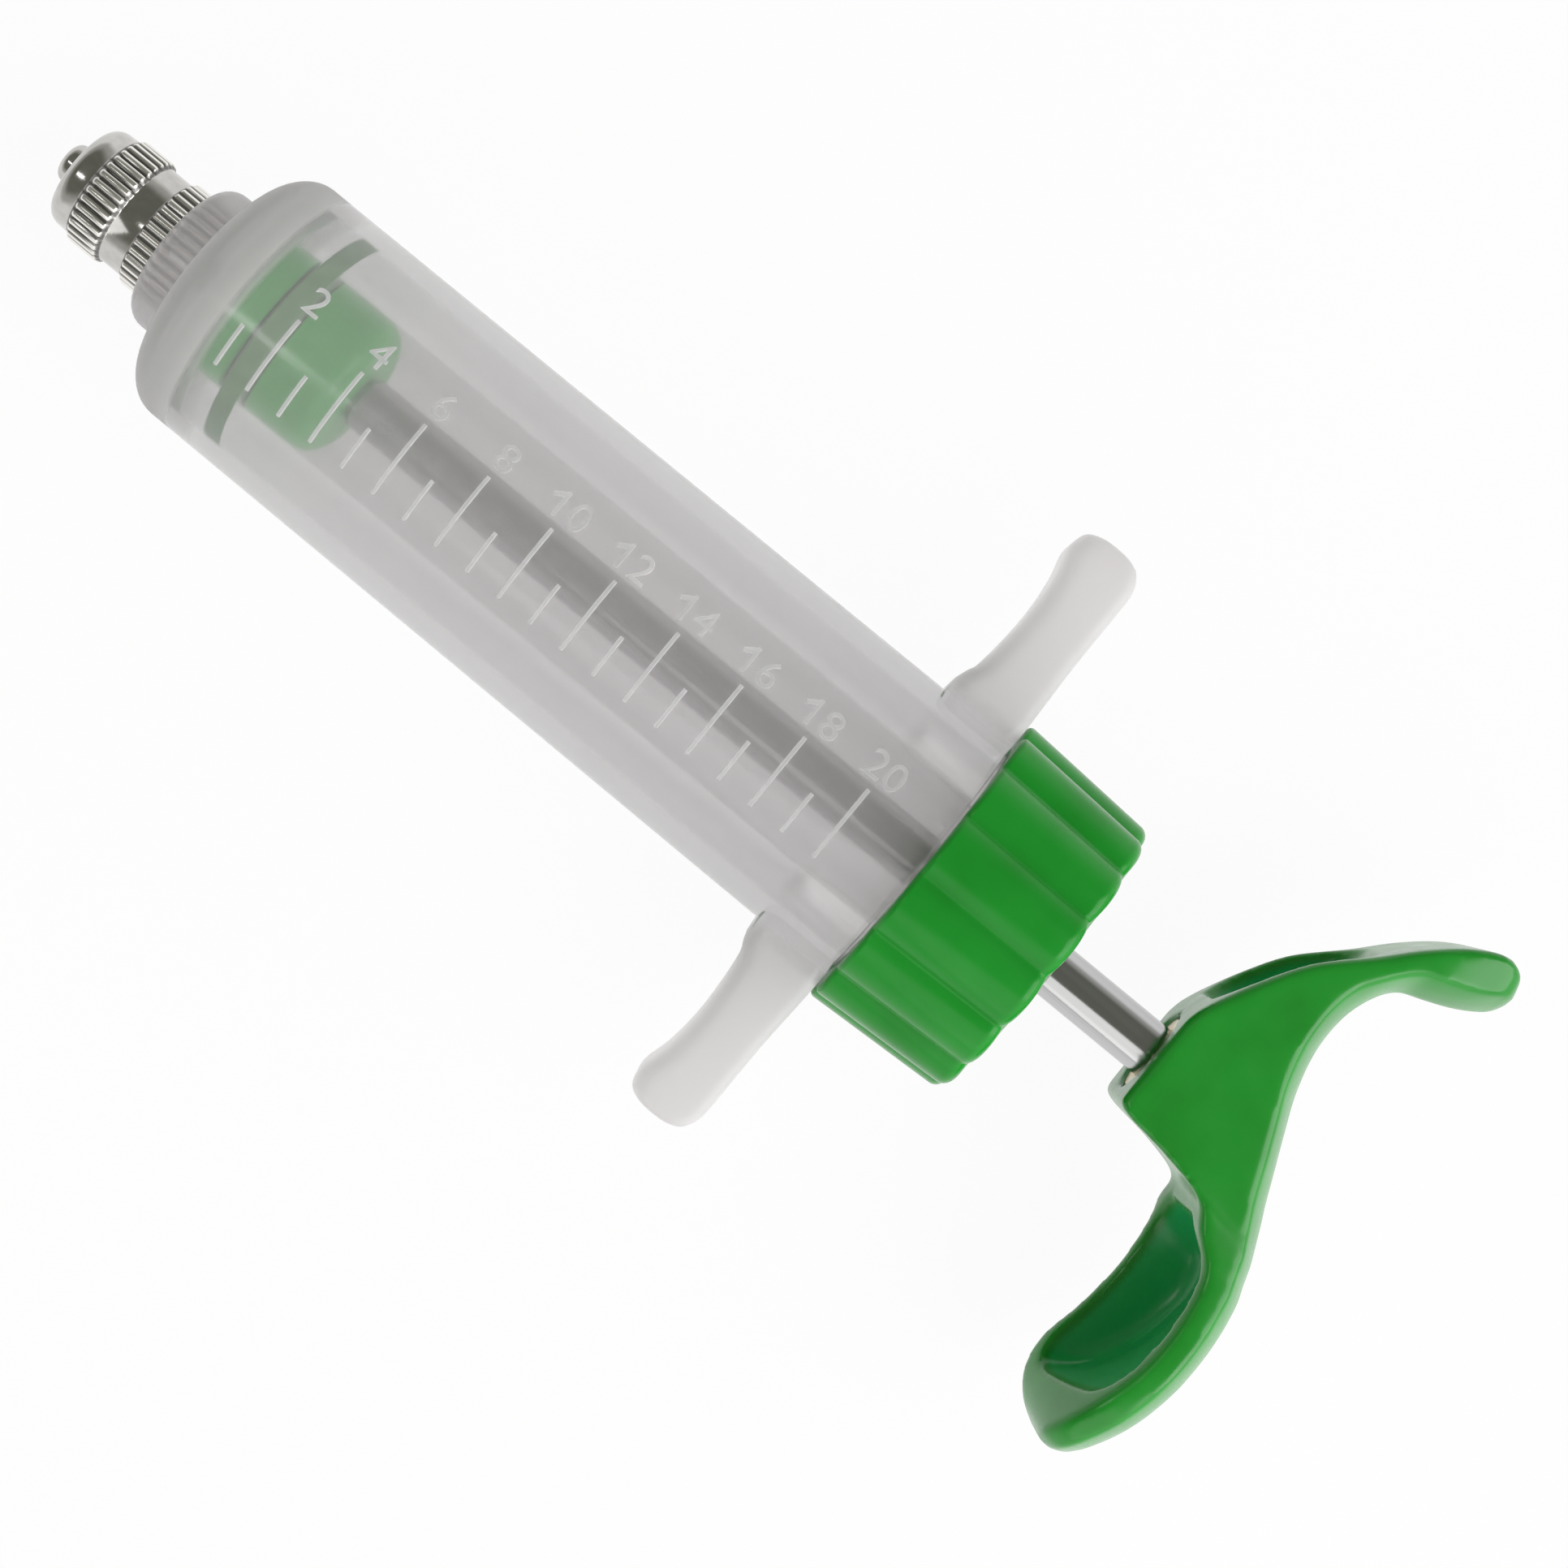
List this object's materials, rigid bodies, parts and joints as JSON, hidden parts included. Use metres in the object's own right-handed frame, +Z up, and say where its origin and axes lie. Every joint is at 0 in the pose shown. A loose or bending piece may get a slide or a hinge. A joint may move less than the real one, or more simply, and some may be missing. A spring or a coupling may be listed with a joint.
{
  "type": "dosing syringe",
  "caption": "Refillable dosing syringe: clear graduated barrel with finger rests, screw cap, sealed plunger with a palm handle and a metal lock nozzle.",
  "frame": {"origin": "middle of the length and width, at the height of the cap's lowest lobes, on which the syringe lies", "axes": "+X along the syringe from the nozzle to the palm handle, Y along the finger rests, +Z up, out of the side that carries the scale"},
  "size_m": [0.1738, 0.0772, 0.0364],
  "materials": {
    "milky_plastic": "milky, see-through, moulded",
    "insert_plating": "plated brass, straight knurl",
    "washer_fibre": "fibre",
    "collar_plating": "plated brass, straight knurl",
    "cone_plating": "plated brass, turned",
    "cap_green": "gloss, moulded",
    "seal_silicone": "silicone",
    "bush_white": "low-friction plastic",
    "wiper_rubber": "matt",
    "piston_head_green": "gloss, moulded",
    "ring_grey": "greased",
    "piston_body_green": "gloss, moulded",
    "rod_steel": "polished stainless steel",
    "handle_green": "gloss, moulded",
    "insert_brass": "turned"
  },
  "bodies": {
    "barrel": {"barrel": "milky_plastic", "nozzle_insert": "insert_plating"},
    "nozzle_seal": {"nozzle_washer": "washer_fibre"},
    "nozzle": {"luer_lock_collar": "collar_plating", "luer_cone": "cone_plating"},
    "cap_seal": {"cap_seal": "seal_silicone"},
    "cap": {"screw_cap": "cap_green", "rod_guide_bush": "bush_white", "rod_wiper": "wiper_rubber"},
    "piston_ring": {"piston_o_ring": "ring_grey"},
    "plunger": {"piston_head": "piston_head_green", "piston_body": "piston_body_green", "plunger_rod": "rod_steel", "handle": "handle_green", "handle_insert": "insert_brass"}
  },
  "joints": [
    {"name": "plunger_slide", "type": "slide", "parent": "barrel", "child": "piston_ring", "axis": [1, 0, 0], "range_m": [-0.0024, 0.085]},
    {"name": "plunger_turn", "type": "hinge", "parent": "piston_ring", "child": "plunger", "pos_m": [-0.05611, 0.0004, 0.01821], "axis": [1, 0, 0], "continuous": true},
    {"name": "cap_travel", "type": "slide", "parent": "barrel", "child": "cap_seal", "axis": [1, 0, 0], "range_m": [0, 0.00901]},
    {"name": "cap_turn", "type": "hinge", "parent": "cap_seal", "child": "cap", "pos_m": [0.02955, 0.0004, 0.01821], "axis": [1, 0, 0], "range_deg": [0, 1080]},
    {"name": "nozzle_travel", "type": "slide", "parent": "barrel", "child": "nozzle_seal", "axis": [-1, 0, 0], "range_m": [0, 0.00401]},
    {"name": "nozzle_turn", "type": "hinge", "parent": "nozzle_seal", "child": "nozzle", "pos_m": [-0.07465, 0.0004, 0.01821], "axis": [-1, 0, 0], "range_deg": [0, 1440]}
  ],
  "couplings": [
    {"joint": "cap_travel", "follows": "cap_turn", "m_per_rad": 0.00047746},
    {"joint": "nozzle_travel", "follows": "nozzle_turn", "m_per_rad": 0.00015915}
  ]
}
